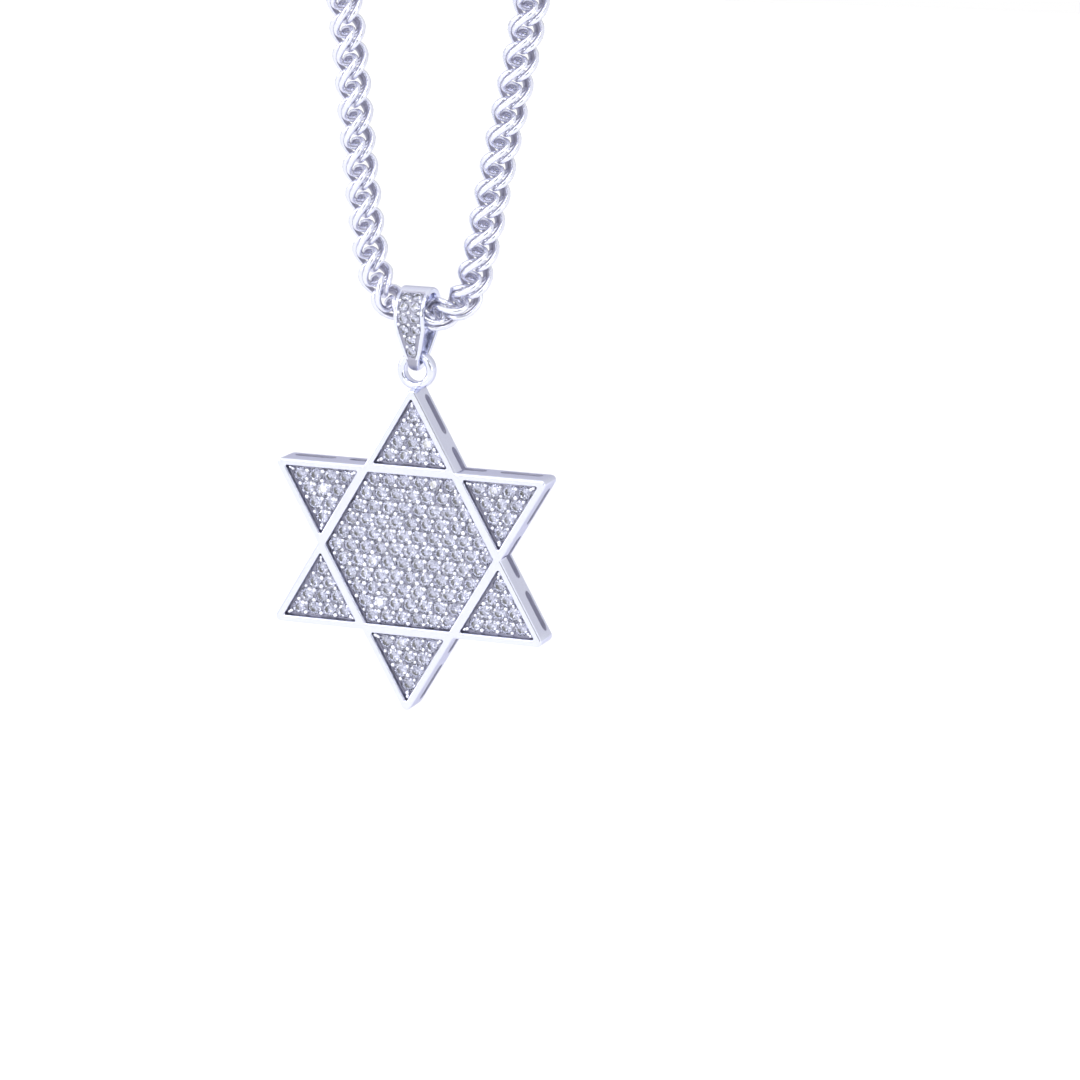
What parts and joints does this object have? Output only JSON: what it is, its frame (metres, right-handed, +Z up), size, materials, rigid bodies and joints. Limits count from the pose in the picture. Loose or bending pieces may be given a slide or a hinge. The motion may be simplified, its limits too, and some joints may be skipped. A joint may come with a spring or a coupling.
{
  "type": "star of david pendant necklace",
  "caption": "Star of David pendant with stone-filled points and middle, on a tapered bail that swings on a whole square-link neck chain with a barrel clasp.",
  "frame": {"origin": "middle of the clasp's underside, where the loop hangs on the back of a neck or on a hook", "axes": "+Z up along the hanging loop, -Y toward the front of the star, +X to the wearer's left as seen from the front right"},
  "size_m": [0.0958, 0.0048, 0.284],
  "materials": {
    "white_metal": "polished rhodium-white metal",
    "chain_metal": "polished rhodium-white metal links",
    "clear_stone": "clear faceted cut stone"
  },
  "bodies": {
    "necklace": {"chain": "chain_metal", "clasp": "chain_metal"},
    "bail": {"bail": "white_metal", "bail_stones": "clear_stone"},
    "star": {"star_frame": "white_metal", "middle_stones": "clear_stone", "point_stones": "clear_stone"}
  },
  "joints": [
    {"name": "bail_swing", "type": "hinge", "parent": "necklace", "child": "bail", "pos_m": [0, 0, -0.2448], "axis": [1, 0, 0], "range_deg": [-70, 70]},
    {"name": "star_swing", "type": "hinge", "parent": "bail", "child": "star", "pos_m": [0, 0, -0.2482], "axis": [1, 0, 0], "range_deg": [-75, 75]}
  ]
}
